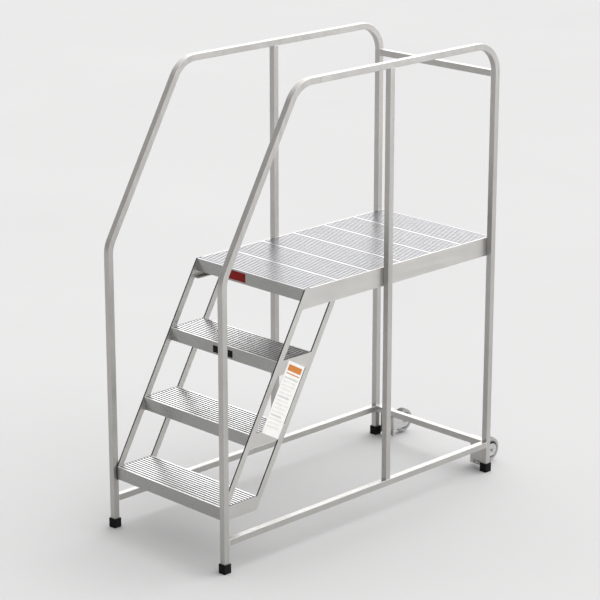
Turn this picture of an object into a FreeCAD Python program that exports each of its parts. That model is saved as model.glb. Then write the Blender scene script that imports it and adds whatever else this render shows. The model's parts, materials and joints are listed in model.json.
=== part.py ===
import FreeCAD, Part

import math
import os
import re

import Sketcher

# A mobile ladder stand in welded 1 in square aluminium tube: three ribbed treads and a ribbed
# platform between two bent handrail frames, rubber feet, and two rear wheels that clear the floor.
# Millimetres. +X is the right side, +Y the climbing direction, +Z up. The origin lies on the floor
# at the middle of the bounding box. In the sketches, lengths along Y count from the front posts'
# front face, and every piece's Placement moves that face to front_face_y.

doc = FreeCAD.newDocument("LadderStand")

DIMENSIONS = [
    ("front_face_y", 822.95, "distance of the front posts' front face ahead of the origin"),
    ("tube_side", 25.4, "outside of the square tube"),
    ("tube_wall", 3.175, "wall of the square tube"),
    ("tube_corner", 1.5, "outside corner radius of the square tube"),
    ("inner_half", 304.8, "half the clear width between the side frames"),
    ("frame_length", 1517.4, "front posts' front face to rear posts' rear face"),
    ("rail_top", 1828.8, "top of the handrail above the floor"),
    ("bend_radius", 114.3, "centreline radius of the handrail bends"),
    ("lower_bend_height", 1143.6, "height where the two centrelines of the lower bend cross"),
    ("mid_post_front", 880.3, "front face of the middle posts"),
    ("base_rail_top", 133.35, "top of the base rails and the lower crossbar"),
    ("crossbar_top", 1707.0, "top of the upper crossbar"),
    ("step_rise", 254.0, "rise of each step"),
    ("step_run", 144.78, "run of each step"),
    ("platform_top", 1016.0, "top of the platform"),
    ("platform_front", 450.6, "front face of the platform's flange"),
    ("plank_pitch", 177.8, "depth of a tread, and pitch of the platform planks"),
    ("plank_gap", 1.0, "gap between two planks"),
    ("plank_leg", 25.0, "depth of a plank's rear leg"),
    ("tread_leg", 38.0, "depth of a tread's rear leg"),
    ("flange_depth", 50.8, "depth of the front flange of the treads and the platform"),
    ("skin", 3.0, "wall of the tread and plank extrusions"),
    ("front_border", 10.0, "smooth strip along a front edge"),
    ("rear_border", 8.0, "smooth strip along a rear edge"),
    ("rib_count", 10, "ribs on a tread or a plank"),
    ("rib_width", 7.5, "width of a rib"),
    ("rib_depth", 2.0, "height of the ribs above the skin"),
    ("nosing_round", 1.8, "rounding of the front nosing of a board"),
    ("bar_width", 25.4, "width of the stringers' flat bar"),
    ("bar_thick", 6.35, "thickness of the stringers, end plates and side channels"),
    ("end_plate_depth", 55.0, "depth of the treads' end plates"),
    ("channel_depth", 76.2, "depth of the platform's side channels"),
    ("channel_flange", 28.0, "width of the side channels' bottom flange"),
    ("ledge_width", 20.0, "width of the ledge under the planks"),
    ("ledge_thick", 4.0, "thickness of the side channels' ledge and flange"),
    ("foot_side", 35.0, "outside of a rubber foot"),
    ("foot_height", 36.0, "height of a rubber foot"),
    ("foot_base", 6.0, "rubber under the end of a post"),
    ("foot_round", 2.5, "rounding of a foot's upright edges"),
    ("wheel_x", 250.0, "distance of each wheel's middle plane from the centre"),
    ("axle_back", 82.5, "axle behind the rear posts' rear face"),
    ("axle_height", 57.0, "axle above the floor"),
    ("wheel_radius", 50.8, "outside of the tyre"),
    ("wheel_width", 31.75, "width of the tyre"),
    ("tyre_inner", 37.0, "inside of the tyre"),
    ("tyre_round", 5.0, "rounding of the tyre's shoulders"),
    ("hub_boss", 13.0, "radius of the hub's boss"),
    ("hub_boss_width", 34.0, "width of the hub's boss"),
    ("hub_web", 8.0, "thickness of the hub's web"),
    ("hub_rim", 5.0, "thickness of the hub's rim"),
    ("bush_outer", 8.5, "outside radius of the bearing bush"),
    ("bush_bore", 6.40, "bore radius of the bearing bush"),
    ("sleeve_radius", 6.35, "outside radius of the axle sleeve"),
    ("bolt_radius", 4.0, "radius of the axle bolt and the caster bolts"),
    ("fork_gap", 38.0, "clear width between the fork's cheeks"),
    ("cheek_thick", 2.5, "thickness of the fork's cheeks"),
    ("cheek_end", 27.0, "radius of a cheek's end around the axle, and half its height"),
    ("fork_plate_wide", 52.0, "width of the fork's plate"),
    ("fork_plate_tall", 92.0, "height of the fork's plate"),
    ("fork_plate_thick", 3.0, "thickness of the fork's plate"),
    ("carrier_inner", 222.0, "inner edge of a carrier plate, from the centre"),
    ("carrier_outer", 299.0, "outer edge of a carrier plate, from the centre"),
    ("carrier_bottom", 10.0, "lower edge of a carrier plate"),
    ("bolt_spread_x", 11.0, "half the spacing of the caster bolts along X"),
    ("bolt_spread_z", 36.0, "half the spacing of the caster bolts along Z"),
    ("head_height", 5.3, "height of a bolt head"),
    ("nut_height", 6.5, "height of a nut"),
    ("thread_end", 2.0, "end of a bolt beyond its nut"),
    ("across_corners", 7.3, "corner radius of a hexagon head or nut"),
    ("placard_wide", 97.0, "width of the instruction placard"),
    ("placard_long", 292.0, "length of the instruction placard"),
    ("placard_gap", 32.0, "placard's edge behind the front stringer"),
    ("placard_top", 757.0, "height of the placard's upper front corner"),
    ("sign_thick", 0.8, "thickness of the placard, the band and the plate"),
    ("band_left", 135.0, "left end of the red band, left of the centre"),
    ("band_wide", 111.0, "width of the red band"),
    ("band_tall", 36.0, "height of the red band"),
    ("band_drop", 7.5, "red band below the platform's top"),
    ("plate_wide", 109.0, "width of the black plate"),
    ("plate_tall", 28.0, "height of the black plate"),
    ("plate_drop", 15.0, "black plate below the third tread's top"),
]

sheet = doc.addObject("Spreadsheet::Sheet", "Dims")
for row, (alias, size, meaning) in enumerate(DIMENSIONS, start=1):
    sheet.set("A%d" % row, alias)
    sheet.set("B%d" % row, str(size))
    sheet.set("C%d" % row, meaning)
    sheet.setAlias("B%d" % row, alias)
doc.recompute()


ALIAS_WORDS = re.compile(r"\b(%s)\b" % "|".join(alias for alias, size, meaning in DIMENSIONS))


def term(text):
    """Turn a formula in alias names into a formula on the sheet's cells."""
    return ALIAS_WORDS.sub(r"Dims.\1", text)


def number(text):
    """Present value of a formula in alias names."""
    result = sheet.evalExpression(term(text))
    return float(getattr(result, "Value", result))


# Two places closer than this are the same place.
SAME_PLACE = 0.01
STEPS = (1, 2, 3)
PLANKS = 6

# Formulas that several pieces share.
SLOPE = "( step_run / step_rise )"
PLATE_HALF = "( inner_half - bar_thick )"
BAR_ACROSS = "( bar_width * sqrt( 1 + %s * %s ) )" % (SLOPE, SLOPE)
AXLE_Y = "( frame_length + axle_back )"
CARRIER_BACK = "( frame_length + bar_thick )"
FORK_BACK = "( frame_length + bar_thick + fork_plate_thick )"


def slope_at(height):
    """Y of the front stringers' front edge at a height."""
    return "( platform_front + ( %s - platform_top ) * %s )" % (height, SLOPE)


def tread_top(step):
    """Height of a tread, counted from 1 at the bottom."""
    return "( step_rise * %d )" % step


def tread_front(step):
    """Front face of a tread's flange."""
    return slope_at(tread_top(step))


def body_named(name):
    """A body at the frame's place, with its front reference at front_face_y."""
    body = doc.addObject("PartDesign::Body", name)
    body.Label = name
    body.setExpression("Placement.Base.y", term("0 - front_face_y"))
    return body


def plane_of(body, role):
    """One of a body's own origin planes."""
    return next(plane for plane in body.Origin.OriginFeatures if plane.Role == role)


def sketch_on(body, role, name, offset="0"):
    """A sketch on one of a body's origin planes, moved along the plane's normal."""
    sketch = body.newObject("Sketcher::SketchObject", name)
    sketch.AttachmentSupport = [(plane_of(body, role), "")]
    sketch.MapMode = "FlatFace"
    sketch.setExpression("AttachmentOffset.Base.z", term(offset))
    return sketch


def fix_point(sketch, geometry, point, across, up):
    """Tie a point of a sketch to the origin by two formulas."""
    for kind, formula in (("DistanceX", across), ("DistanceY", up)):
        index = sketch.addConstraint(
            Sketcher.Constraint(kind, -1, 1, geometry, point, number(formula)))
        sketch.setExpression("Constraints[%d]" % index, term(formula))


def outline(sketch, corners):
    """A closed outline of straight sides through corners given as pairs of formulas."""
    points = [FreeCAD.Vector(number(a), number(b), 0) for a, b in corners]
    first = sketch.GeometryCount
    count = len(points)
    for index in range(count):
        sketch.addGeometry(Part.LineSegment(points[index], points[(index + 1) % count]), False)
    for index, (across, up) in enumerate(corners):
        following = first + (index + 1) % count
        sketch.addConstraint(Sketcher.Constraint("Coincident", first + index, 2, following, 1))
        fix_point(sketch, first + index, 1, across, up)


def rectangle(sketch, left, right, bottom, top):
    """A closed rectangle between four formulas."""
    outline(sketch, [(left, bottom), (right, bottom), (right, top), (left, top)])


def circle(sketch, across, up, radius):
    """A circle with its centre and radius given by formulas."""
    centre = FreeCAD.Vector(number(across), number(up), 0)
    index = sketch.addGeometry(
        Part.Circle(centre, FreeCAD.Vector(0, 0, 1), number(radius)), False)
    fix_point(sketch, index, 3, across, up)
    constraint = sketch.addConstraint(Sketcher.Constraint("Radius", index, number(radius)))
    sketch.setExpression("Constraints[%d]" % constraint, term(radius))
    return index


def pad(body, sketch, name, length, midplane=False, backwards=False):
    """Extrude a sketch along its plane's normal."""
    feature = body.newObject("PartDesign::Pad", name)
    feature.Profile = sketch
    feature.setExpression("Length", term(length))
    feature.Midplane = midplane
    feature.Reversed = backwards
    sketch.Visibility = False
    return feature


def pocket_through(body, sketch, name):
    """Cut a sketch right through the body, both ways."""
    feature = body.newObject("PartDesign::Pocket", name)
    feature.Profile = sketch
    feature.Type = "ThroughAll"
    feature.Midplane = True
    sketch.Visibility = False
    return feature


def side_start(side, inner, thick):
    """X where a piece starts that stands `inner` from the centre on the left or right side."""
    if side == "right":
        return inner
    return "0 - %s - %s" % (inner, thick)


def rounded_square(sketch, across, up):
    """The outside of the square tube, with its small corner radii, centred on a point."""
    half = "tube_side / 2"
    short = "( tube_side / 2 - tube_corner )"
    x = number(across)
    y = number(up)
    flat = number(short)
    radius = number("tube_corner")
    normal = FreeCAD.Vector(0, 0, 1)
    sides = [
        (("+", half), ("-", short), ("+", half), ("+", short)),
        (("+", short), ("+", half), ("-", short), ("+", half)),
        (("-", half), ("+", short), ("-", half), ("-", short)),
        (("-", short), ("-", half), ("+", short), ("-", half)),
    ]
    lines = []
    for start_x, start_y, end_x, end_y in sides:
        ends = [("%s %s %s" % ((across,) + start_x), "%s %s %s" % ((up,) + start_y)),
                ("%s %s %s" % ((across,) + end_x), "%s %s %s" % ((up,) + end_y))]
        points = [FreeCAD.Vector(number(a), number(b), 0) for a, b in ends]
        lines.append(sketch.addGeometry(Part.LineSegment(points[0], points[1]), False))
        for end, (a, b) in enumerate(ends, start=1):
            fix_point(sketch, lines[-1], end, a, b)
    for corner, (sign_x, sign_y) in enumerate(((1, 1), (-1, 1), (-1, -1), (1, -1))):
        centre = FreeCAD.Vector(x + sign_x * flat, y + sign_y * flat, 0)
        start = corner * math.pi / 2
        arc = sketch.addGeometry(
            Part.ArcOfCircle(Part.Circle(centre, normal, radius), start, start + math.pi / 2), False)
        sketch.addConstraint(Sketcher.Constraint("Coincident", arc, 1, lines[corner], 2))
        sketch.addConstraint(Sketcher.Constraint("Coincident", arc, 2, lines[(corner + 1) % 4], 1))
        index = sketch.addConstraint(Sketcher.Constraint("Radius", arc, radius))
        sketch.setExpression("Constraints[%d]" % index, term("tube_corner"))


def ring_section(sketch, across, up):
    """The square tube's section, centred on a point."""
    rounded_square(sketch, across, up)
    hollow = "( tube_side / 2 - tube_wall )"
    rectangle(sketch, "%s - %s" % (across, hollow), "%s + %s" % (across, hollow),
              "%s - %s" % (up, hollow), "%s + %s" % (up, hollow))


def handrail(side):
    """Front post, sloping rail, top rail and rear post, bent from one square tube."""
    body = body_named("handrail_" + side)
    middle = side_start(side, "inner_half", "tube_side") + " + tube_side / 2"
    path = sketch_on(body, "YZ_Plane", "centreline_" + side, middle)
    half = number("tube_side / 2")
    radius = number("bend_radius")
    lean = math.atan(number(SLOPE))
    front = half
    rear = number("frame_length") - half
    top = number("rail_top") - half
    foot = number("foot_base")
    low = number("lower_bend_height")
    low_cut = radius * math.tan(lean / 2)
    high = front + (top - low) * math.tan(lean)
    high_cut = radius * math.tan((math.pi / 2 - lean) / 2)
    along = FreeCAD.Vector(math.sin(lean), math.cos(lean), 0)
    low_corner = FreeCAD.Vector(front, low, 0)
    high_corner = FreeCAD.Vector(high, top, 0)
    low_start = FreeCAD.Vector(front, low - low_cut, 0)
    low_end = low_corner + along * low_cut
    high_start = high_corner - along * high_cut
    high_end = FreeCAD.Vector(high + high_cut, top, 0)
    rear_start = FreeCAD.Vector(rear - radius, top, 0)
    rear_end = FreeCAD.Vector(rear, top - radius, 0)
    flat = FreeCAD.Vector(0, 0, 1)
    low_centre = FreeCAD.Vector(front + radius, low - low_cut, 0)
    high_centre = FreeCAD.Vector(high + high_cut, top - radius, 0)
    rear_centre = FreeCAD.Vector(rear - radius, top - radius, 0)
    post, lower, slope, upper, rail, corner, back = range(7)
    path.addGeometry(Part.LineSegment(FreeCAD.Vector(front, foot, 0), low_start), False)
    path.addGeometry(
        Part.ArcOfCircle(Part.Circle(low_centre, flat, radius), math.pi - lean, math.pi), False)
    path.addGeometry(Part.LineSegment(low_end, high_start), False)
    path.addGeometry(
        Part.ArcOfCircle(Part.Circle(high_centre, flat, radius), math.pi / 2, math.pi - lean), False)
    path.addGeometry(Part.LineSegment(high_end, rear_start), False)
    path.addGeometry(Part.ArcOfCircle(Part.Circle(rear_centre, flat, radius), 0, math.pi / 2), False)
    path.addGeometry(Part.LineSegment(rear_end, FreeCAD.Vector(rear, foot, 0)), False)
    tangents = [(post, 2, lower, 2), (lower, 1, slope, 1), (slope, 2, upper, 2),
                (upper, 1, rail, 1), (rail, 2, corner, 2), (corner, 1, back, 1)]
    for one, one_end, two, two_end in tangents:
        path.addConstraint(Sketcher.Constraint("Tangent", one, one_end, two, two_end))
    path.addConstraint(Sketcher.Constraint("Vertical", post))
    path.addConstraint(Sketcher.Constraint("Horizontal", rail))
    path.addConstraint(Sketcher.Constraint("Vertical", back))
    for arc in (lower, upper, corner):
        index = path.addConstraint(Sketcher.Constraint("Radius", arc, radius))
        path.setExpression("Constraints[%d]" % index, term("bend_radius"))
    fix_point(path, post, 1, "tube_side / 2", "foot_base")
    fix_point(path, back, 2, "frame_length - tube_side / 2", "foot_base")
    lean_term = "atan( %s )" % SLOPE
    start_term = "lower_bend_height - bend_radius * tan( %s / 2 )" % lean_term
    for kind, geometry, point, formula in (
            ("DistanceY", post, 2, start_term), ("DistanceY", rail, 1, "rail_top - tube_side / 2")):
        index = path.addConstraint(
            Sketcher.Constraint(kind, -1, 1, geometry, point, number(formula)))
        path.setExpression("Constraints[%d]" % index, term(formula))
    index = path.addConstraint(Sketcher.Constraint("Angle", slope, math.pi / 2 - lean))
    path.setExpression("Constraints[%d]" % index, term("90 deg - " + lean_term))
    section = sketch_on(body, "XY_Plane", "section_" + side, "foot_base")
    ring_section(section, "( %s )" % middle, "tube_side / 2")
    pipe = body.newObject("PartDesign::AdditivePipe", "tube_" + side)
    pipe.Profile = section
    pipe.Spine = path
    pipe.Mode = "Standard"
    pipe.Transition = "Transformed"
    section.Visibility = False
    path.Visibility = False
    return body


def upright_tube(name, side, front, bottom, top):
    """A vertical square tube in a side frame."""
    body = body_named(name)
    section = sketch_on(body, "XY_Plane", "section_" + name, bottom)
    middle = "( %s + tube_side / 2 )" % side_start(side, "inner_half", "tube_side")
    ring_section(section, middle, "( %s + tube_side / 2 )" % front)
    pad(body, section, "tube_" + name, "%s - %s" % (top, bottom))
    return body


def base_rail(side):
    """A level tube between a front and a rear post."""
    body = body_named("base_rail_" + side)
    section = sketch_on(body, "XZ_Plane", "section_base_" + side, "0 - tube_side")
    middle = "( %s + tube_side / 2 )" % side_start(side, "inner_half", "tube_side")
    ring_section(section, middle, "( base_rail_top - tube_side / 2 )")
    pad(body, section, "tube_base_" + side, "frame_length - 2 * tube_side", backwards=True)
    return body


def crossbar(name, top):
    """A level tube between the two rear posts."""
    body = body_named(name)
    section = sketch_on(body, "YZ_Plane", "section_" + name)
    ring_section(section, "( frame_length - tube_side / 2 )", "( %s - tube_side / 2 )" % top)
    pad(body, section, "tube_" + name, "2 * inner_half", midplane=True)
    return body


def flat_plate(name, side, corners):
    """A flat plate in the plane of the stringers, from its outline in Y and Z."""
    body = body_named(name)
    start = side_start(side, PLATE_HALF, "bar_thick")
    sketch = sketch_on(body, "YZ_Plane", "outline_" + name, start)
    outline(sketch, corners)
    pad(body, sketch, "plate_" + name, "bar_thick")
    return body


def stringer(which, side, setback, bottom, top):
    """A sloping flat bar, cut level at both ends."""
    corners = []
    for height in (bottom, top):
        edge = "( %s + %s )" % (slope_at(height), setback)
        corners.append((edge, height))
        corners.append(("%s + %s" % (edge, BAR_ACROSS), height))
    near_low, far_low, near_high, far_high = corners
    return flat_plate("%s_stringer_%s" % (which, side), side, [near_low, far_low, far_high, near_high])


def end_plate(step, side):
    """The plate that closes the end of a tread between the two stringers."""
    top = tread_top(step)
    bottom = "( %s - end_plate_depth )" % top
    if step == 1:
        front_high = front_low = tread_front(step)
    else:
        front_high = "%s + %s" % (slope_at(top), BAR_ACROSS)
        front_low = "%s + %s" % (slope_at(bottom), BAR_ACROSS)
    return flat_plate("tread_%d_end_plate_%s" % (step, side), side, [
        (front_low, bottom),
        ("%s + plank_pitch" % slope_at(bottom), bottom),
        ("%s + plank_pitch" % slope_at(top), top),
        (front_high, top),
    ])


def ribbed_board(name, front, depth, top, front_leg, rear_leg):
    """A ribbed extrusion across the stand, with a leg under each long edge."""
    body = body_named(name)
    profile = sketch_on(body, "YZ_Plane", "profile_" + name)
    rear = "%s + %s" % (front, depth)
    floor_of_ribs = "%s - rib_depth" % top
    underside = "%s - rib_depth - skin" % top
    outline(profile, [
        (front, "%s - %s" % (top, front_leg)),
        ("%s + skin" % front, "%s - %s" % (top, front_leg)),
        ("%s + skin" % front, underside),
        ("%s - skin" % rear, underside),
        ("%s - skin" % rear, "%s - %s" % (top, rear_leg)),
        (rear, "%s - %s" % (top, rear_leg)),
        (rear, top),
        ("%s - rear_border" % rear, top),
        ("%s - rear_border" % rear, floor_of_ribs),
        ("%s + front_border" % front, floor_of_ribs),
        ("%s + front_border" % front, top),
        (front, top),
    ])
    pad(body, profile, "board_" + name, "2 * %s" % PLATE_HALF, midplane=True)
    pitch = "( ( %s - front_border - rear_border + rib_width ) / ( rib_count + 1 ) )" % depth
    first = "%s + front_border + %s - rib_width" % (front, pitch)
    rib = sketch_on(body, "YZ_Plane", "rib_" + name)
    rectangle(rib, first, "%s + rib_width" % first, floor_of_ribs, top)
    rib_pad = pad(body, rib, "first_rib_" + name, "2 * %s" % PLATE_HALF, midplane=True)
    pattern = body.newObject("PartDesign::LinearPattern", "ribs_" + name)
    pattern.Originals = [rib_pad]
    pattern.Direction = (rib, ["H_Axis"])
    pattern.setExpression("Length", term("%s * ( rib_count - 1 )" % pitch))
    pattern.setExpression("Occurrences", term("rib_count"))
    body.Tip = pattern
    doc.recompute()
    nose = rounded_edges(pattern, front, top)
    fillet = body.newObject("PartDesign::Fillet", "nosing_" + name)
    fillet.Base = (pattern, nose)
    fillet.setExpression("Radius", term("nosing_round"))
    body.Tip = fillet
    return body


def rounded_edges(feature, front, top):
    """Names of the long edges along the front top corner of a board."""
    names = []
    for index, edge in enumerate(feature.Shape.Edges, start=1):
        centre = edge.BoundBox.Center
        on_front = abs(centre.y - number(front)) < SAME_PLACE
        on_top = abs(centre.z - number(top)) < SAME_PLACE
        if on_front and on_top and edge.Length > number("inner_half"):
            names.append("Edge%d" % index)
    return names


def side_channel(side):
    """A platform side member: outer web, ledge under the planks and bottom flange."""
    body = body_named("platform_side_channel_" + side)
    sketch = sketch_on(body, "XZ_Plane", "section_channel_" + side, "0 - frame_length")
    sign = "" if side == "right" else "0 - "
    ledge_top = "( platform_top - plank_leg )"
    bottom = "( platform_top - channel_depth )"
    corners = [
        ("inner_half", bottom),
        ("inner_half", "platform_top"),
        (PLATE_HALF, "platform_top"),
        (PLATE_HALF, ledge_top),
        ("( %s - ledge_width )" % PLATE_HALF, ledge_top),
        ("( %s - ledge_width )" % PLATE_HALF, "%s - ledge_thick" % ledge_top),
        (PLATE_HALF, "%s - ledge_thick" % ledge_top),
        (PLATE_HALF, "%s + ledge_thick" % bottom),
        ("( inner_half - channel_flange )", "%s + ledge_thick" % bottom),
        ("( inner_half - channel_flange )", bottom),
    ]
    outline(sketch, [(sign + across, up) for across, up in corners])
    pad(body, sketch, "channel_" + side, "frame_length - %s - %s" % (slope_at(bottom), BAR_ACROSS))
    cut = sketch_on(body, "YZ_Plane", "front_cut_" + side)
    behind = "( %s + %s )"
    outline(cut, [
        (behind % (slope_at(bottom), BAR_ACROSS), bottom),
        (behind % (slope_at("platform_top"), BAR_ACROSS), "platform_top"),
        (behind % (slope_at("platform_top"), BAR_ACROSS), "platform_top + tube_side"),
        ("platform_front - step_run", "platform_top + tube_side"),
        ("platform_front - step_run", bottom),
    ])
    pocket_through(body, cut, "front_end_" + side)
    return body


def rubber_foot(name, side, front):
    """A square rubber cup around the end of a post."""
    body = body_named(name)
    middle = "( %s + tube_side / 2 )" % side_start(side, "inner_half", "tube_side")
    back = "( %s + tube_side / 2 )" % front
    block = sketch_on(body, "XY_Plane", "block_" + name)
    rectangle(block, "%s - foot_side / 2" % middle, "%s + foot_side / 2" % middle,
              "%s - foot_side / 2" % back, "%s + foot_side / 2" % back)
    solid = pad(body, block, "rubber_" + name, "foot_height")
    doc.recompute()
    upright = ["Edge%d" % index for index, edge in enumerate(solid.Shape.Edges, start=1)
               if edge.BoundBox.ZLength > number("foot_height / 2")]
    fillet = body.newObject("PartDesign::Fillet", "rounded_" + name)
    fillet.Base = (solid, upright)
    fillet.setExpression("Radius", term("foot_round"))
    cup = sketch_on(body, "XY_Plane", "cup_" + name, "foot_base")
    half = "tube_side / 2"
    rectangle(cup, "%s - %s" % (middle, half), "%s + %s" % (middle, half),
              "%s - %s" % (back, half), "%s + %s" % (back, half))
    socket = body.newObject("PartDesign::Pocket", "socket_" + name)
    socket.Profile = cup
    socket.Reversed = True
    socket.setExpression("Length", term("foot_height"))
    cup.Visibility = False
    return body


def carrier_plate(side):
    """The plate behind the lower crossbar that carries a caster, with its four bolt holes."""
    body = body_named("caster_carrier_" + side)
    sign = "" if side == "right" else "0 - "
    sketch = sketch_on(body, "XZ_Plane", "outline_carrier_" + side, "0 - " + CARRIER_BACK)
    outline(sketch, [
        (sign + "carrier_inner", "carrier_bottom"),
        (sign + "carrier_outer", "carrier_bottom"),
        (sign + "carrier_outer", "base_rail_top"),
        (sign + "carrier_inner", "base_rail_top"),
    ])
    for across, up in bolt_places(side):
        circle(sketch, across, up, "bolt_radius")
    pad(body, sketch, "carrier_" + side, "bar_thick")
    return body


def bolt_places(side):
    """Centres of a caster's four bolts, in X and Z."""
    centre = "wheel_x" if side == "right" else "0 - wheel_x"
    places = []
    for sideways in ("-", "+"):
        for upwards in ("-", "+"):
            places.append(("%s %s bolt_spread_x" % (centre, sideways),
                           "axle_height %s bolt_spread_z" % upwards))
    return places


def round_ended(sketch, start, centre_across, centre_up, radius):
    """A closed outline with straight level sides and a half-round end."""
    x0 = number(start)
    x1 = number(centre_across)
    y = number(centre_up)
    r = number(radius)
    low = "%s - %s" % (centre_up, radius)
    high = "%s + %s" % (centre_up, radius)
    points = [FreeCAD.Vector(x0, y - r, 0), FreeCAD.Vector(x1, y - r, 0),
              FreeCAD.Vector(x1, y + r, 0), FreeCAD.Vector(x0, y + r, 0)]
    lower = sketch.addGeometry(Part.LineSegment(points[0], points[1]), False)
    upper = sketch.addGeometry(Part.LineSegment(points[2], points[3]), False)
    closing = sketch.addGeometry(Part.LineSegment(points[3], points[0]), False)
    rim = Part.Circle(FreeCAD.Vector(x1, y, 0), FreeCAD.Vector(0, 0, 1), r)
    end = sketch.addGeometry(Part.ArcOfCircle(rim, -math.pi / 2, math.pi / 2), False)
    fix_point(sketch, lower, 1, start, low)
    fix_point(sketch, lower, 2, centre_across, low)
    fix_point(sketch, upper, 1, centre_across, high)
    fix_point(sketch, upper, 2, start, high)
    sketch.addConstraint(Sketcher.Constraint("Coincident", closing, 1, upper, 2))
    sketch.addConstraint(Sketcher.Constraint("Coincident", closing, 2, lower, 1))
    sketch.addConstraint(Sketcher.Constraint("Tangent", lower, 2, end, 1))
    sketch.addConstraint(Sketcher.Constraint("Coincident", end, 2, upper, 1))


def caster_fork(side):
    """A rigid caster's fork: a plate and two round-ended cheeks, one on each side of the wheel."""
    body = body_named("caster_fork_" + side)
    centre = "wheel_x" if side == "right" else "0 - wheel_x"
    cheeks = sketch_on(body, "YZ_Plane", "cheeks_" + side, centre)
    round_ended(cheeks, CARRIER_BACK, AXLE_Y, "axle_height", "cheek_end")
    pad(body, cheeks, "cheek_block_" + side, "fork_gap + 2 * cheek_thick", midplane=True)
    between = sketch_on(body, "XY_Plane", "between_" + side)
    rectangle(between, "%s - fork_gap / 2" % centre, "%s + fork_gap / 2" % centre,
              FORK_BACK, "%s + 2 * cheek_end" % AXLE_Y)
    pocket_through(body, between, "wheel_room_" + side)
    plate = sketch_on(body, "XZ_Plane", "plate_" + side, "0 - " + FORK_BACK)
    rectangle(plate, "%s - fork_plate_wide / 2" % centre, "%s + fork_plate_wide / 2" % centre,
              "axle_height - fork_plate_tall / 2", "axle_height + fork_plate_tall / 2")
    pad(body, plate, "fork_plate_" + side, "fork_plate_thick")
    holes = sketch_on(body, "XZ_Plane", "plate_holes_" + side, "0 - " + CARRIER_BACK)
    for across, up in bolt_places(side):
        circle(holes, across, up, "bolt_radius")
    pocket_through(body, holes, "bolt_holes_" + side)
    bore = sketch_on(body, "YZ_Plane", "axle_hole_" + side, centre)
    circle(bore, AXLE_Y, "axle_height", "bolt_radius")
    pocket_through(body, bore, "axle_bore_" + side)
    return body


def turned_piece(name, side, corners, roundings=()):
    """A piece turned about the axle, from its outline in X from the wheel's middle and radius."""
    body = doc.addObject("PartDesign::Body", name)
    body.Label = name
    centre = "wheel_x" if side == "right" else "0 - wheel_x"
    body.setExpression("Placement.Base.x", term(centre))
    body.setExpression("Placement.Base.y", term("%s - front_face_y" % AXLE_Y))
    body.setExpression("Placement.Base.z", term("axle_height"))
    sketch = sketch_on(body, "XY_Plane", "outline_" + name)
    outline(sketch, corners)
    turn = body.newObject("PartDesign::Revolution", "turned_" + name)
    turn.Profile = sketch
    turn.ReferenceAxis = (sketch, ["H_Axis"])
    turn.Angle = 360
    sketch.Visibility = False
    if roundings:
        doc.recompute()
        radius_at, size = roundings
        chosen = ["Edge%d" % index for index, edge in enumerate(turn.Shape.Edges, start=1)
                  if abs(edge.BoundBox.ZMax - number(radius_at)) < SAME_PLACE
                  and edge.BoundBox.XLength < SAME_PLACE]
        fillet = body.newObject("PartDesign::Fillet", "shoulders_" + name)
        fillet.Base = (turn, chosen)
        fillet.setExpression("Radius", term(size))
    return body


def wheel(side):
    """Tyre, hub and bearing bush, with the fixed sleeve, bolt and nut that they run on."""
    half = "wheel_width / 2"
    pieces = [turned_piece("wheel_tyre_" + side, side, [
        ("0 - " + half, "tyre_inner"), (half, "tyre_inner"),
        (half, "wheel_radius"), ("0 - " + half, "wheel_radius"),
    ], ("wheel_radius", "tyre_round"))]
    rim = "( tyre_inner - hub_rim )"
    boss = "hub_boss_width / 2"
    web = "hub_web / 2"
    pieces.append(turned_piece("wheel_hub_" + side, side, [
        ("0 - " + boss, "bush_outer"), (boss, "bush_outer"), (boss, "hub_boss"), (web, "hub_boss"),
        (web, rim), (half, rim), (half, "tyre_inner"), ("0 - " + half, "tyre_inner"),
        ("0 - " + half, rim), ("0 - " + web, rim), ("0 - " + web, "hub_boss"),
        ("0 - " + boss, "hub_boss"),
    ]))
    pieces.append(turned_piece("wheel_bearing_" + side, side, [
        ("0 - " + boss, "bush_bore"), (boss, "bush_bore"),
        (boss, "bush_outer"), ("0 - " + boss, "bush_outer"),
    ]))
    gap = "fork_gap / 2"
    pieces.append(turned_piece("axle_sleeve_" + side, side, [
        ("0 - " + gap, "bolt_radius"), (gap, "bolt_radius"),
        (gap, "sleeve_radius"), ("0 - " + gap, "sleeve_radius"),
    ]))
    return pieces


def hexagon(name, place, axis_turn, height):
    """A hexagon prism that stands on a place given by three formulas."""
    prism = doc.addObject("Part::Prism", name)
    prism.Polygon = 6
    prism.setExpression("Circumradius", term("across_corners"))
    prism.setExpression("Height", term(height))
    seat(prism, place, axis_turn)
    return prism


def shank(name, place, axis_turn, length):
    """A bolt's shank that starts at a place given by three formulas."""
    rod = doc.addObject("Part::Cylinder", name)
    rod.setExpression("Radius", term("bolt_radius"))
    rod.setExpression("Height", term(length))
    seat(rod, place, axis_turn)
    return rod


def seat(piece, place, axis_turn):
    """Turn a primitive and put it at three formulas."""
    piece.Placement = FreeCAD.Placement(FreeCAD.Vector(), axis_turn)
    for letter, formula in zip("xyz", place):
        piece.setExpression("Placement.Base." + letter, term(formula))


ALONG_X = FreeCAD.Rotation(FreeCAD.Vector(0, 1, 0), 90)
AGAINST_X = FreeCAD.Rotation(FreeCAD.Vector(0, 1, 0), -90)
ALONG_Y = FreeCAD.Rotation(FreeCAD.Vector(1, 0, 0), -90)


def joined(name, pieces):
    """Several primitives as one node."""
    fuse = doc.addObject("Part::MultiFuse", name)
    fuse.Label = name
    fuse.Shapes = pieces
    return fuse


def nut_with_bore(name, place, axis_turn):
    """A hexagon nut, bored for its bolt."""
    blank = hexagon(name + "_blank", place, axis_turn, "nut_height")
    bore = shank(name + "_bore", place, axis_turn, "nut_height")
    nut = doc.addObject("Part::Cut", name)
    nut.Base = blank
    nut.Tool = bore
    nut.Label = name
    return nut


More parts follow.
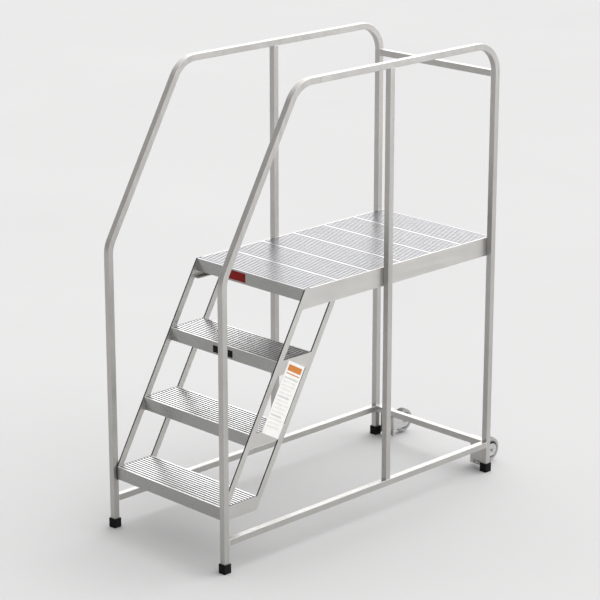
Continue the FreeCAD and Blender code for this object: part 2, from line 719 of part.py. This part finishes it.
def axle_bolt(side):
    """The bolt through the fork and the axle sleeve, its head towards the centre, and its nut."""
    centre = "wheel_x" if side == "right" else "0 - wheel_x"
    outwards, inwards, turn = ("+", "-", ALONG_X) if side == "right" else ("-", "+", AGAINST_X)
    across = "( fork_gap / 2 + cheek_thick )"
    place_y = "%s - front_face_y" % AXLE_Y
    head_x = "%s %s ( %s + head_height )" % (centre, inwards, across)
    rod_x = "%s %s %s" % (centre, inwards, across)
    nut_x = "%s %s %s" % (centre, outwards, across)
    head = hexagon("axle_head_" + side, (head_x, place_y, "axle_height"), turn, "head_height")
    rod = shank("axle_shank_" + side, (rod_x, place_y, "axle_height"), turn,
                "2 * %s + nut_height + thread_end" % across)
    nut = nut_with_bore("axle_nut_" + side, (nut_x, place_y, "axle_height"), turn)
    return [joined("axle_bolt_" + side, [head, rod]), nut]


def caster_bolts(side):
    """The four bolts of a caster, heads to the front, and their four nuts."""
    bolts = []
    nuts = []
    for index, (across, up) in enumerate(bolt_places(side), start=1):
        tag = "%s_%d" % (side, index)
        front = "frame_length - front_face_y"
        back = "%s - front_face_y" % FORK_BACK
        bolts.append(hexagon("caster_head_" + tag, (across, front + " - head_height", up),
                             ALONG_Y, "head_height"))
        bolts.append(shank("caster_shank_" + tag, (across, front, up),
                           ALONG_Y, "bar_thick + fork_plate_thick + nut_height + thread_end"))
        nuts.append(nut_with_bore("caster_nut_" + tag, (across, back, up), ALONG_Y))
    return [joined("caster_bolts_" + side, bolts), joined("caster_nuts_" + side, nuts)]


def sign_board(name, left, width, front, top, height):
    """A thin blank plate on the front of a flange."""
    board = doc.addObject("Part::Box", name)
    board.Label = name
    board.setExpression("Length", term(width))
    board.setExpression("Width", term("sign_thick"))
    board.setExpression("Height", term(height))
    board.setExpression("Placement.Base.x", term(left))
    board.setExpression("Placement.Base.y", term("%s - sign_thick - front_face_y" % front))
    board.setExpression("Placement.Base.z", term("%s - %s" % (top, height)))
    return board


def instruction_placard():
    """The blank sheet on the right end plates of treads 2 and 3, along the slope."""
    body = body_named("instruction_placard")
    sketch = sketch_on(body, "YZ_Plane", "outline_placard", "inner_half")
    stretch = "sqrt( 1 + %s * %s )" % (SLOPE, SLOPE)
    first_y = "( %s + %s + placard_gap )" % (slope_at("placard_top"), BAR_ACROSS)
    across_y = "( placard_wide / %s )" % stretch
    across_z = "( placard_wide * %s / %s )" % (SLOPE, stretch)
    down_y = "( placard_long * %s / %s )" % (SLOPE, stretch)
    down_z = "( placard_long / %s )" % stretch
    outline(sketch, [
        (first_y, "placard_top"),
        ("%s + %s" % (first_y, across_y), "placard_top - %s" % across_z),
        ("%s + %s - %s" % (first_y, across_y, down_y), "placard_top - %s - %s" % (across_z, down_z)),
        ("%s - %s" % (first_y, down_y), "placard_top - %s" % down_z),
    ])
    pad(body, sketch, "sheet_placard", "sign_thick")
    return body


def build():
    """Every piece of the stand."""
    pieces = []
    for side in ("left", "right"):
        pieces.append(handrail(side))
        pieces.append(upright_tube("mid_post_" + side, side, "mid_post_front",
                                   "base_rail_top", "( rail_top - tube_side )"))
        pieces.append(base_rail(side))
        pieces.append(stringer("front", side, "0", tread_top(1), "platform_top"))
        pieces.append(stringer("rear", side, "plank_pitch",
                               "( %s - end_plate_depth )" % tread_top(1),
                               "( platform_top - channel_depth )"))
        pieces.append(side_channel(side))
        pieces.append(rubber_foot("foot_front_" + side, side, "0"))
        pieces.append(rubber_foot("foot_rear_" + side, side, "( frame_length - tube_side )"))
        pieces.append(carrier_plate(side))
        pieces.append(caster_fork(side))
        pieces.extend(caster_bolts(side))
        pieces.extend(wheel(side))
        pieces.extend(axle_bolt(side))
        for step in STEPS:
            pieces.append(end_plate(step, side))
    pieces.append(crossbar("rear_lower_crossbar", "base_rail_top"))
    pieces.append(crossbar("rear_upper_crossbar", "crossbar_top"))
    for step in STEPS:
        pieces.append(ribbed_board("tread_%d" % step, tread_front(step), "plank_pitch",
                                   tread_top(step), "flange_depth", "tread_leg"))
    for plank in range(PLANKS):
        front = "( platform_front + %d * plank_pitch )" % plank
        leg = "flange_depth" if plank == 0 else "plank_leg"
        pieces.append(ribbed_board("platform_plank_%d" % (plank + 1), front,
                                   "( plank_pitch - plank_gap )", "platform_top", leg, "plank_leg"))
    pieces.append(sign_board("platform_red_band", "0 - band_left", "band_wide", "platform_front",
                             "( platform_top - band_drop )", "band_tall"))
    pieces.append(sign_board("tread_black_plate", "0 - plate_wide / 2", "plate_wide", tread_front(3),
                             "( %s - plate_drop )" % tread_top(3), "plate_tall"))
    pieces.append(instruction_placard())
    return pieces


def faults_of(pieces):
    """Everything that did not come out as a valid solid."""
    faults = ["%s is %s" % (item.Label, item.State) for item in doc.Objects
              if "Invalid" in item.State or "Error" in item.State]
    for piece in pieces:
        shape = piece.Shape
        if shape.isNull() or not shape.isValid() or not shape.Solids:
            faults.append("%s has no valid solid" % piece.Label)
    return faults


parts = build()
doc.recompute()
problems = faults_of(parts)
if problems:
    raise RuntimeError("; ".join(problems))
os.makedirs("parts", exist_ok=True)
for part in parts:
    part.Shape.exportStep("parts/%s.step" % part.Label)
print("%d nodes written" % len(parts))
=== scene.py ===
import json
import math

import bmesh
import bpy
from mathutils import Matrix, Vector


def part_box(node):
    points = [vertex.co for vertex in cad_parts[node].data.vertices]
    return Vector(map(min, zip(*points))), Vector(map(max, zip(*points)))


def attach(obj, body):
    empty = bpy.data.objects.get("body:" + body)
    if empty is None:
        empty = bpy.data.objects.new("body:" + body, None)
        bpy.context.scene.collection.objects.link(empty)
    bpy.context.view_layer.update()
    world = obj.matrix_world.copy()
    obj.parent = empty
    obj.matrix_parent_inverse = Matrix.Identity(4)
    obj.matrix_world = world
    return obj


# The looks of the mobile ladder stand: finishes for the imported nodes, and the small things the
# solids leave out, which are the weld beads and the placard's bars.
# Metres, in the part's frame: +X right, +Y the climbing direction, +Z up.

MM = 0.001

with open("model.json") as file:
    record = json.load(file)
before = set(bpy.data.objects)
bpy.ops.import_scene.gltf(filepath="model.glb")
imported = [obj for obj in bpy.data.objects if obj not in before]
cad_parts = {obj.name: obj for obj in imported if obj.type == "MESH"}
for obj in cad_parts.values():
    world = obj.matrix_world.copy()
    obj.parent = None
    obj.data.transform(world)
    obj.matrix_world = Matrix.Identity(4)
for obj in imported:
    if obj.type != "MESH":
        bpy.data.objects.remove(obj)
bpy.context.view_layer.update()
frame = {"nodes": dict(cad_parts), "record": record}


def corners(node):
    """Lowest and highest corner of a node, as vectors."""
    low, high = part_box(node)
    return Vector(low), Vector(high)


# ---------------------------------------------------------------- places taken from the frame

POST_LOW, POST_HIGH = corners("handrail_right")
RAIL_LOW, RAIL_HIGH = corners("base_rail_right")
MID_LOW, MID_HIGH = corners("mid_post_right")
CROSS_LOW, CROSS_HIGH = corners("rear_lower_crossbar")
TOP_CROSS_LOW, TOP_CROSS_HIGH = corners("rear_upper_crossbar")
PLACARD_LOW, PLACARD_HIGH = corners("instruction_placard")

TUBE = POST_HIGH.x - POST_LOW.x
RIB_DEPTH = 2.0 * MM
INNER = POST_LOW.x
FRONT_POST_BACK = RAIL_LOW.y
REAR_POST_FRONT = RAIL_HIGH.y
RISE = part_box("tread_1")[1][2]
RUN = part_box("tread_2")[0][1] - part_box("tread_1")[0][1]
LEAN = math.atan2(RUN, RISE)


# ---------------------------------------------------------------- node-building helpers

def fresh_material(name):
    """An empty node material with a shader and an output."""
    material = bpy.data.materials.new(name)
    material.use_nodes = True
    tree = material.node_tree
    tree.nodes.clear()
    shader = tree.nodes.new("ShaderNodeBsdfPrincipled")
    output = tree.nodes.new("ShaderNodeOutputMaterial")
    tree.links.new(shader.outputs["BSDF"], output.inputs["Surface"])
    return material, tree, shader


def object_noise(tree, scale, stretch=(1, 1, 1), detail=4.0, roughness=0.55):
    """Noise fixed to the object, stretched along its axes."""
    place = tree.nodes.new("ShaderNodeTexCoord")
    mapping = tree.nodes.new("ShaderNodeMapping")
    mapping.inputs["Scale"].default_value = stretch
    noise = tree.nodes.new("ShaderNodeTexNoise")
    noise.inputs["Scale"].default_value = scale
    noise.inputs["Detail"].default_value = detail
    noise.inputs["Roughness"].default_value = roughness
    tree.links.new(place.outputs["Object"], mapping.inputs["Vector"])
    tree.links.new(mapping.outputs["Vector"], noise.inputs["Vector"])
    return noise.outputs["Fac"]


def spread(tree, value, low, high, from_low=0.3, from_high=0.7):
    """Map a texture's value to a range."""
    node = tree.nodes.new("ShaderNodeMapRange")
    node.inputs["From Min"].default_value = from_low
    node.inputs["From Max"].default_value = from_high
    node.inputs["To Min"].default_value = low
    node.inputs["To Max"].default_value = high
    tree.links.new(value, node.inputs["Value"])
    return node.outputs["Result"]


def blend_colours(tree, factor, dark, light):
    """A colour between two, by a factor."""
    node = tree.nodes.new("ShaderNodeMix")
    node.data_type = "RGBA"
    node.inputs["A"].default_value = (*dark, 1)
    node.inputs["B"].default_value = (*light, 1)
    tree.links.new(factor, node.inputs["Factor"])
    return node.outputs["Result"]


def bump(tree, shader, value, strength, distance):
    """Relief on a shader's normal."""
    node = tree.nodes.new("ShaderNodeBump")
    node.inputs["Strength"].default_value = strength
    node.inputs["Distance"].default_value = distance
    tree.links.new(value, node.inputs["Height"])
    tree.links.new(node.outputs["Normal"], shader.inputs["Normal"])


def total(tree, one, two, share):
    """One value plus a share of another."""
    node = tree.nodes.new("ShaderNodeMath")
    node.operation = "MULTIPLY_ADD"
    node.inputs[1].default_value = share
    tree.links.new(two, node.inputs[0])
    tree.links.new(one, node.inputs[2])
    return node.outputs["Value"]


# ---------------------------------------------------------------- finishes

def aluminium(name, dark, light, grain, rough_low, rough_high, metallic, relief=0.08):
    """Mill-finish aluminium: drawn grain, faint blotches and handling marks."""
    material, tree, shader = fresh_material(name)
    shader.inputs["Metallic"].default_value = metallic
    drawn = object_noise(tree, 60, grain, detail=6)
    blotch = object_noise(tree, 7, (1, 1, 1), detail=3)
    marks = object_noise(tree, 180, (1, 1, 1), detail=2)
    tint = total(tree, spread(tree, blotch, 0.0, 0.75), spread(tree, drawn, 0.0, 1.0), 0.25)
    tree.links.new(blend_colours(tree, tint, dark, light), shader.inputs["Base Color"])
    wear = total(tree, spread(tree, drawn, rough_low, rough_high), spread(tree, marks, 0.0, 1.0), 0.06)
    tree.links.new(wear, shader.inputs["Roughness"])
    bump(tree, shader, drawn, relief, 0.2 * MM)
    return material


def below_tread_tops(tree, depth, reach):
    """One where the height lies about `depth` under a whole number of rises, give or take `reach`."""
    place = tree.nodes.new("ShaderNodeTexCoord")
    height = tree.nodes.new("ShaderNodeSeparateXYZ")
    tree.links.new(place.outputs["Object"], height.inputs["Vector"])
    under = tree.nodes.new("ShaderNodeMath")
    under.operation = "FLOORED_MODULO"
    under.inputs[1].default_value = RISE
    tree.links.new(height.outputs["Z"], under.inputs[0])
    near = tree.nodes.new("ShaderNodeMath")
    near.operation = "COMPARE"
    near.inputs[1].default_value = RISE - depth
    near.inputs[2].default_value = reach
    tree.links.new(under.outputs["Value"], near.inputs[0])
    return near.outputs["Value"]


def combined(tree, operation, one, two):
    """Two values put together, kept between nought and one."""
    node = tree.nodes.new("ShaderNodeMath")
    node.operation = operation
    node.use_clamp = True
    tree.links.new(one, node.inputs[0])
    tree.links.new(two, node.inputs[1])
    return node.outputs["Value"]


def facing(tree, axis):
    """How far a face looks along one of the object's axes, from -1 to 1."""
    place = tree.nodes.new("ShaderNodeTexCoord")
    split = tree.nodes.new("ShaderNodeSeparateXYZ")
    tree.links.new(place.outputs["Normal"], split.inputs["Vector"])
    return split.outputs[axis]


def upward(tree):
    """One on faces that look up, nought on the others; the others can take painted shade."""
    return spread(tree, facing(tree, "Z"), 0.0, 1.0, 0.6, 0.9)


def sideways(tree):
    """One on faces that look to the left or right; nought on the others."""
    either = tree.nodes.new("ShaderNodeMath")
    either.operation = "ABSOLUTE"
    tree.links.new(facing(tree, "X"), either.inputs[0])
    return spread(tree, either.outputs["Value"], 0.0, 1.0, 0.3, 0.8)


def recoloured(tree, lit, factor, other):
    """A colour that turns into another by a factor."""
    node = tree.nodes.new("ShaderNodeMix")
    node.data_type = "RGBA"
    node.inputs["A"].default_value = (*other, 1)
    tree.links.new(factor, node.inputs["Factor"])
    tree.links.new(lit, node.inputs["B"])
    return node.outputs["Result"]


def inverse(tree, value):
    """One less a value."""
    node = tree.nodes.new("ShaderNodeMath")
    node.operation = "SUBTRACT"
    node.inputs[0].default_value = 1.0
    tree.links.new(value, node.inputs[1])
    return node.outputs["Value"]


def ribbed_finish(name, top_tone, groove, wall):
    """The ribbed extrusions: their own tone on top, painted shade on other faces and in the tread
    grooves, and a painted highlight on the planks' rib walls.
    """
    dark, light = top_tone
    material = aluminium(name, dark, light, (0.3, 1.0, 1.0), 0.24, 0.30, 0.85, relief=0.01)
    tree = material.node_tree
    shader = tree.nodes["Principled BSDF"]
    lit = shader.inputs["Base Color"].links[0].from_socket
    # Faces that don't look up take a painted shade, darker than the tops.
    side_shaded = recoloured(tree, lit, upward(tree), PAINTED_FLANGE_SHADE)
    band = below_tread_tops(tree, 0.5 * RIB_DEPTH, 0.48 * RIB_DEPTH)
    # Rib walls take the wall colour: painted shade on the treads, a painted highlight on the planks.
    walls = combined(tree, "SUBTRACT", band, upward(tree))
    sided = recoloured(tree, side_shaded, inverse(tree, walls), wall)
    # Groove floors take the groove colour: a painted shade on the treads, a tone close to the tops on the
    # planks.
    grooves = combined(tree, "MULTIPLY", below_tread_tops(tree, RIB_DEPTH, 0.02 * RIB_DEPTH),
                       upward(tree))
    tree.links.new(recoloured(tree, sided, inverse(tree, grooves), groove), shader.inputs["Base Color"])
    return material


def bar_finish(name):
    """The flat bars and channels: pale rolled faces, and near-black painted shade on the edges and other
    faces that don't look to the side.
    """
    material = aluminium(name, FACE_DARK, FACE_LIGHT, (1.0, 0.1, 0.1), 0.28, 0.40, 0.85)
    tree = material.node_tree
    shader = tree.nodes["Principled BSDF"]
    face = shader.inputs["Base Color"].links[0].from_socket
    # Faces that don't look to the left or right take a near-black painted shade.
    tree.links.new(recoloured(tree, face, sideways(tree), PAINTED_EDGE_SHADE), shader.inputs["Base Color"])
    return material


def rubber(name, dark, light, roughness_low, roughness_high, shine=0.35):
    """Moulded rubber with a fine grain and patches of dust."""
    material, tree, shader = fresh_material(name)
    grain = object_noise(tree, 420, detail=3)
    dust = object_noise(tree, 25, detail=5)
    tree.links.new(blend_colours(tree, spread(tree, dust, 0, 1), dark, light),
                   shader.inputs["Base Color"])
    tree.links.new(spread(tree, dust, roughness_low, roughness_high), shader.inputs["Roughness"])
    shader.inputs["Specular IOR Level"].default_value = shine
    bump(tree, shader, grain, 0.35, 0.3 * MM)
    return material


def tyre_finish(name):
    """Grey rubber: pale side walls, and painted shade on the tread."""
    material = rubber(name, (0.27, 0.27, 0.268), (0.34, 0.34, 0.337), 0.5, 0.75)
    tree = material.node_tree
    shader = tree.nodes["Principled BSDF"]
    wall = shader.inputs["Base Color"].links[0].from_socket
    # The tread, which doesn't look sideways, takes a painted shade.
    tree.links.new(recoloured(tree, wall, sideways(tree), TYRE_TREAD_SHADE),
                   shader.inputs["Base Color"])
    return material


def plastic(name, dark, light, rough_low, rough_high, relief, shine=0.5):
    """Moulded or printed plastic with slight mottling."""
    material, tree, shader = fresh_material(name)
    mottle = object_noise(tree, 40, detail=4)
    grain = object_noise(tree, 500, detail=2)
    tree.links.new(blend_colours(tree, spread(tree, mottle, 0, 1), dark, light),
                   shader.inputs["Base Color"])
    tree.links.new(spread(tree, mottle, rough_low, rough_high), shader.inputs["Roughness"])
    shader.inputs["Specular IOR Level"].default_value = shine
    bump(tree, shader, grain, relief, 0.1 * MM)
    return material


def zinc(name):
    """Zinc-plated steel: small crystals and a dull shine."""
    material, tree, shader = fresh_material(name)
    shader.inputs["Metallic"].default_value = 0.85
    crystals = object_noise(tree, 120, detail=5)
    stain = object_noise(tree, 18, detail=4)
    tree.links.new(blend_colours(tree, spread(tree, crystals, 0, 1), (0.48, 0.48, 0.485),
                                 (0.58, 0.58, 0.58)), shader.inputs["Base Color"])
    tree.links.new(spread(tree, stain, 0.32, 0.55), shader.inputs["Roughness"])
    bump(tree, shader, crystals, 0.05, 0.1 * MM)
    return material


TREAD_TOP_TONE = ((0.58, 0.58, 0.585), (0.72, 0.72, 0.725))
PLANK_TOP_TONE = ((0.36, 0.36, 0.375), (0.40, 0.40, 0.415))
# Painted shade in the tread grooves.
TREAD_GROOVE_SHADE = (0.10, 0.10, 0.102)
PLANK_GROOVE = (0.40, 0.40, 0.41)
# Painted highlight on the planks' rib walls and on the top strip of their front and back faces.
PLANK_WALL_HIGHLIGHT = (0.64, 0.64, 0.65)
# Painted shade on the faces of the treads and planks that don't look up, and on the tread rib walls.
PAINTED_FLANGE_SHADE = (0.34, 0.34, 0.33)
FACE_DARK = (0.49, 0.482, 0.464)
FACE_LIGHT = (0.55, 0.542, 0.524)
# Painted shade on the bars' edges.
PAINTED_EDGE_SHADE = (0.06, 0.06, 0.06)
# Painted shade on the tyre tread.
TYRE_TREAD_SHADE = (0.10, 0.10, 0.10)

FINISHES = {
    "tube_aluminium": aluminium("tube_aluminium", (0.425, 0.417, 0.402), (0.480, 0.471, 0.455),
                                (1.0, 1.0, 0.05), 0.26, 0.38, 0.85),
    "flat_aluminium": bar_finish("flat_aluminium"),
    # The treads take painted shade on their rib walls, in their grooves and on faces that don't look up.
    "ribbed_aluminium": ribbed_finish("ribbed_aluminium", TREAD_TOP_TONE, TREAD_GROOVE_SHADE, PAINTED_FLANGE_SHADE),
    "zinc_steel": zinc("zinc_steel"),
    "foot_rubber": rubber("foot_rubber", (0.004, 0.004, 0.004), (0.009, 0.009, 0.009), 0.65, 0.85, 0.12),
    "tyre_rubber": tyre_finish("tyre_rubber"),
    # The hub's near-black colour is partly its own plastic core and partly painted shade in the recess
    # between cheek and tyre.
    "hub_plastic": plastic("hub_plastic", (0.045, 0.045, 0.047), (0.07, 0.07, 0.072), 0.4, 0.55, 0.2),
    "bearing_bush": plastic("bearing_bush", (0.05, 0.05, 0.05), (0.08, 0.08, 0.08), 0.4, 0.6, 0.2),
    "white_sign": plastic("white_sign", (0.74, 0.735, 0.715), (0.81, 0.805, 0.785), 0.4, 0.55, 0.08),
    "red_sign": plastic("red_sign", (0.20, 0.008, 0.007), (0.27, 0.012, 0.010), 0.45, 0.6, 0.05,
                        0.12),
    "black_sign": plastic("black_sign", (0.005, 0.005, 0.005), (0.010, 0.010, 0.010), 0.5, 0.65,
                          0.05, 0.1),
}
# The planks take a painted highlight on their rib walls and painted shade on their other faces that don't
# look up.
PLANKS = ribbed_finish("plank_aluminium", PLANK_TOP_TONE, PLANK_GROOVE, PLANK_WALL_HIGHLIGHT)
PLAIN_PLATE = aluminium("plain_plate", FACE_DARK, FACE_LIGHT, (1.0, 0.1, 1.0), 0.28, 0.40, 0.85)
WELD = aluminium("weld_bead", (0.55, 0.55, 0.55), (0.70, 0.70, 0.69), (1.0, 1.0, 1.0),
                 0.38, 0.55, 0.55)
ORANGE = plastic("orange_ink", (0.50, 0.17, 0.035), (0.58, 0.22, 0.05), 0.45, 0.6, 0.05, 0.15)
GREY_INK = plastic("grey_ink", (0.50, 0.50, 0.50), (0.58, 0.58, 0.58), 0.35, 0.5, 0.05)
PALE_INK = plastic("pale_ink", (0.66, 0.645, 0.61), (0.74, 0.725, 0.69), 0.35, 0.5, 0.05)


# Nodes whose names start so don't take their slot's finish.
OWN_FINISHES = [
    ("caster_carrier", PLAIN_PLATE),
    ("platform_side_channel", PLAIN_PLATE),
    ("platform_plank", PLANKS),
]


def dress_nodes():
    """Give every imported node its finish."""
    for entry in frame["record"]["subparts"]:
        node = frame["nodes"][entry["node"]]
        node.data.materials.clear()
        finish = FINISHES[entry["material_slot"]]
        for start, other in OWN_FINISHES:
            if entry["node"].startswith(start):
                finish = other
        node.data.materials.append(finish)


dress_nodes()


# ---------------------------------------------------------------- piece-building helpers

def piece(name, mesh_maker, material, body="frame", smooth=True):
    """A new object from a function that fills a bmesh."""
    mesh = bpy.data.meshes.new(name)
    work = bmesh.new()
    mesh_maker(work)
    bmesh.ops.recalc_face_normals(work, faces=work.faces)
    work.to_mesh(mesh)
    work.free()
    if smooth:
        for face in mesh.polygons:
            face.use_smooth = True
    thing = bpy.data.objects.new(name, mesh)
    bpy.context.scene.collection.objects.link(thing)
    mesh.materials.append(material)
    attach(thing, body)
    return thing


BEAD_SIDES = 8
BEAD_RADIUS = 2.0 * MM
RIPPLE_PITCH = 2.2 * MM
RIPPLE_DEPTH = 0.14
STEPS_PER_RIPPLE = 4
END_SIZE = 0.35
TAPER_SLOPE = 8


def add_bead(work, start, end, radius=BEAD_RADIUS):
    """A rippled weld bead from one point to another, closed at both ends."""
    way = end - start
    length = way.length
    steps = max(6, int(STEPS_PER_RIPPLE * length / RIPPLE_PITCH))
    forward = way.normalized()
    side = forward.orthogonal().normalized()
    other = forward.cross(side)
    rings = []
    for step in range(steps + 1):
        share = step / steps
        ripple = 1 - RIPPLE_DEPTH * abs(math.sin(math.pi * share * length / RIPPLE_PITCH))
        taper = min(1.0, END_SIZE + TAPER_SLOPE * min(share, 1 - share))
        reach = radius * ripple * taper
        centre = start + way * share
        rings.append([work.verts.new(centre + reach * (math.cos(turn) * side + math.sin(turn) * other))
                      for turn in (2 * math.pi * index / BEAD_SIDES for index in range(BEAD_SIDES))])
    for one, two in zip(rings, rings[1:]):
        for index in range(BEAD_SIDES):
            following = (index + 1) % BEAD_SIDES
            work.faces.new((one[index], one[following], two[following], two[index]))
    work.faces.new(list(reversed(rings[0])))
    work.faces.new(rings[-1])


def bead_ring(work, centre, across, up, half_across, half_up):
    """Beads around a square tube's end, where it meets a face."""
    a = across * half_across
    b = up * half_up
    ring = [centre - a - b, centre + a - b, centre + a + b, centre - a + b]
    for index in range(4):
        add_bead(work, ring[index], ring[(index + 1) % 4])


X = Vector((1, 0, 0))
Y = Vector((0, 1, 0))
Z = Vector((0, 0, 1))
EDGE = TUBE / 2 - 0.5 * BEAD_RADIUS


# ---------------------------------------------------------------- weld beads

def frame_welds(side):
    """Beads where the tubes of a side frame meet."""
    centre_x = side * (INNER + TUBE / 2)
    rail_z = (RAIL_LOW.z + RAIL_HIGH.z) / 2
    mid_y = (MID_LOW.y + MID_HIGH.y) / 2

    def make(work):
        """Fill the mesh with the beads at every joint of the side."""
        for y in (FRONT_POST_BACK, REAR_POST_FRONT):
            bead_ring(work, Vector((centre_x, y, rail_z)), X, Z, EDGE, EDGE)
        for z in (MID_LOW.z, MID_HIGH.z):
            bead_ring(work, Vector((centre_x, mid_y, z)), X, Y, EDGE, EDGE)
        for low, high in ((CROSS_LOW, CROSS_HIGH), (TOP_CROSS_LOW, TOP_CROSS_HIGH)):
            middle = (low + high) / 2
            bead_ring(work, Vector((side * INNER, middle.y, middle.z)), Y, Z, EDGE, EDGE)
    return make


for label, sign in (("left", -1), ("right", 1)):
    piece("frame_welds_" + label, frame_welds(sign), WELD)


# ---------------------------------------------------------------- the placard's bars

PRINT_PROUD = 0.15 * MM
PLACARD_LENGTH = 292.0 * MM
ALONG = Vector((0, math.sin(LEAN), math.cos(LEAN)))
ACROSS = Vector((0, math.cos(LEAN), -math.sin(LEAN)))
PLACARD_CORNER = Vector((PLACARD_HIGH.x, PLACARD_LOW.y + PLACARD_LENGTH * math.sin(LEAN), PLACARD_HIGH.z))


def placard_bar(name, material, down, tall, left, wide):
    """A printed bar on the placard, placed from its upper front corner."""
    def make(work):
        """Fill the mesh with a thin slab on the placard's face."""
        start = PLACARD_CORNER + ACROSS * left - ALONG * down
        ends = [start, start + ACROSS * wide, start + ACROSS * wide - ALONG * tall, start - ALONG * tall]
        back = [work.verts.new(point) for point in ends]
        front = [work.verts.new(point + X * PRINT_PROUD) for point in ends]
        work.faces.new(back)
        work.faces.new(list(reversed(front)))
        for index in range(4):
            following = (index + 1) % 4
            work.faces.new((back[index], front[index], front[following], back[following]))
    return piece(name, make, material, smooth=False)


MARGIN = 10 * MM
LINE_WIDTH = 77 * MM
LINE_COUNT = 14
LINE_TALL = 6 * MM
LINE_PITCH = 15 * MM
FIRST_LINE = 60 * MM
GREY_EVERY = 5
SHORTER_BY = (0, 9, 4, 16, 2, 12, 7)

placard_bar("placard_heading_bar", ORANGE, 12 * MM, 24 * MM, MARGIN, LINE_WIDTH)
placard_bar("placard_thin_bar", ORANGE, 44 * MM, 4 * MM, MARGIN, LINE_WIDTH)
for row in range(LINE_COUNT):
    ink = GREY_INK if row % GREY_EVERY == 0 else PALE_INK
    shorter = SHORTER_BY[row % len(SHORTER_BY)] * MM
    placard_bar("placard_line_%d" % (row + 1), ink, FIRST_LINE + LINE_PITCH * row, LINE_TALL,
                MARGIN, LINE_WIDTH - shorter)


# ---------------------------------------------------------------- stage, light and camera

def plane_object(name, size, place, material):
    """A square sheet for the stage."""
    bpy.ops.mesh.primitive_plane_add(size=size, location=place)
    sheet = bpy.context.object
    sheet.name = name
    sheet.data.materials.append(material)
    return sheet


FLOOR_SIZE = 60
FLOOR_DARK = (0.528, 0.528, 0.53)
FLOOR_LIGHT = (0.543, 0.543, 0.545)


def stage_material():
    """A plain pale floor with hardly any variation in tone."""
    material, tree, shader = fresh_material("studio_floor")
    tone = object_noise(tree, 0.6, detail=2)
    tree.links.new(blend_colours(tree, spread(tree, tone, 0, 1), FLOOR_DARK, FLOOR_LIGHT),
                   shader.inputs["Base Color"])
    shader.inputs["Roughness"].default_value = 0.9
    shader.inputs["Specular IOR Level"].default_value = 0.0
    return material


floor = plane_object("studio_floor", FLOOR_SIZE, (0, 0, 0), stage_material())

scene = bpy.context.scene
scene.view_settings.view_transform = "Standard"

SKY_DARK = 0.42
SKY_LIGHT = 2.9
SKY_TINT = (1.0, 0.997, 0.992, 1)


def studio_world():
    """Soft surroundings, dim in front of the stand and bright behind it."""
    world = bpy.data.worlds.new("studio")
    scene.world = world
    world.use_nodes = True
    tree = world.node_tree
    place = tree.nodes.new("ShaderNodeTexCoord")
    split = tree.nodes.new("ShaderNodeSeparateXYZ")
    tree.links.new(place.outputs["Generated"], split.inputs["Vector"])
    sky = tree.nodes["Background"]
    sky.inputs["Color"].default_value = SKY_TINT
    tree.links.new(spread(tree, split.outputs["Y"], SKY_DARK, SKY_LIGHT, -0.6, 0.9),
                   sky.inputs["Strength"])


studio_world()


def sun(name, aim_from, strength, angle):
    """A soft distant light from a direction."""
    lamp = bpy.data.lights.new(name, "SUN")
    lamp.energy = strength
    lamp.angle = math.radians(angle)
    holder = bpy.data.objects.new(name, lamp)
    holder.rotation_euler = Vector(aim_from).to_track_quat("Z", "Y").to_euler()
    scene.collection.objects.link(holder)
    return holder


sun("top_sun", (0.1, 0.5, 1.0), 0.35, 40)
sun("right_sun", (0.8, 0.6, 0.08), 0.3, 20)

# The camera's place from the centre plane, the front posts' front face and the floor, in metres,
# and its turn in degrees.
CAMERA_RIGHT = 6.1868
CAMERA_AHEAD = 5.4062
CAMERA_HEIGHT = 3.5339
CAMERA_TILT = 72.871
CAMERA_TURN = 45.261
LENS_LENGTH = 138.27
SENSOR_WIDTH = 36

lens = bpy.data.cameras.new("camera")
lens.lens = LENS_LENGTH
lens.sensor_width = SENSOR_WIDTH
camera = bpy.data.objects.new("camera", lens)
camera.location = (CAMERA_RIGHT, POST_LOW.y - CAMERA_AHEAD, CAMERA_HEIGHT)
camera.rotation_euler = (math.radians(CAMERA_TILT), 0, math.radians(CAMERA_TURN))
scene.collection.objects.link(camera)
scene.camera = camera
